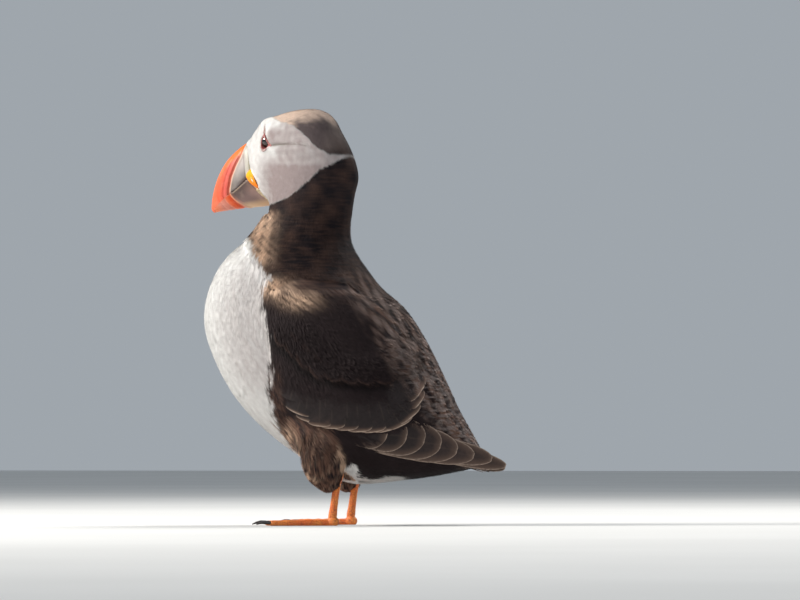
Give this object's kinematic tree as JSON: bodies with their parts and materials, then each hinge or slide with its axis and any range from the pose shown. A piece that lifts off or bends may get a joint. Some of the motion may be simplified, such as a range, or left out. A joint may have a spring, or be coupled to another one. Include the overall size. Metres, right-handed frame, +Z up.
{
  "type": "atlantic puffin",
  "caption": "Atlantic puffin standing upright, head turned slightly, wings folded, triangular banded bill and webbed feet, as a still life-size model.",
  "frame": {"origin": "bottom centre of the whole bird's box, on the floor it stands on", "axes": "+Z up, -Y the way the bird's body faces, +X its left side"},
  "size_m": [0.0878, 0.1672, 0.225],
  "materials": {
    "plumage_dark": "blackish brown feathers",
    "plumage_pale": "white and pale grey feathers",
    "bill_horn": "satin horn, slate at the base and orange-red in front",
    "rosette": "wrinkled yellow-orange skin",
    "eye": "glossy, dark",
    "eye_plate": "blue-grey horn",
    "leg_skin": "orange scaly skin",
    "claw": "dark horn"
  },
  "bodies": {
    "root": {"trunk": "plumage_dark", "neck": "plumage_dark", "wing_left": "plumage_dark", "wing_right": "plumage_dark", "primaries_left": "plumage_dark", "primaries_right": "plumage_dark", "tail": "plumage_dark", "head": "plumage_pale", "thigh_left": "plumage_pale", "thigh_right": "plumage_pale", "bill_upper": "bill_horn", "bill_lower": "bill_horn", "rosette_left": "rosette", "rosette_right": "rosette", "eye_left": "eye", "eye_right": "eye", "eye_plate_upper_left": "eye_plate", "eye_plate_upper_right": "eye_plate", "eye_plate_lower_left": "eye_plate", "eye_plate_lower_right": "eye_plate", "shank_left": "leg_skin", "shank_right": "leg_skin", "foot_left": "leg_skin", "foot_right": "leg_skin", "claw_inner_left": "claw", "claw_middle_left": "claw", "claw_outer_left": "claw", "claw_inner_right": "claw", "claw_middle_right": "claw", "claw_outer_right": "claw"}
  },
  "joints": []
}
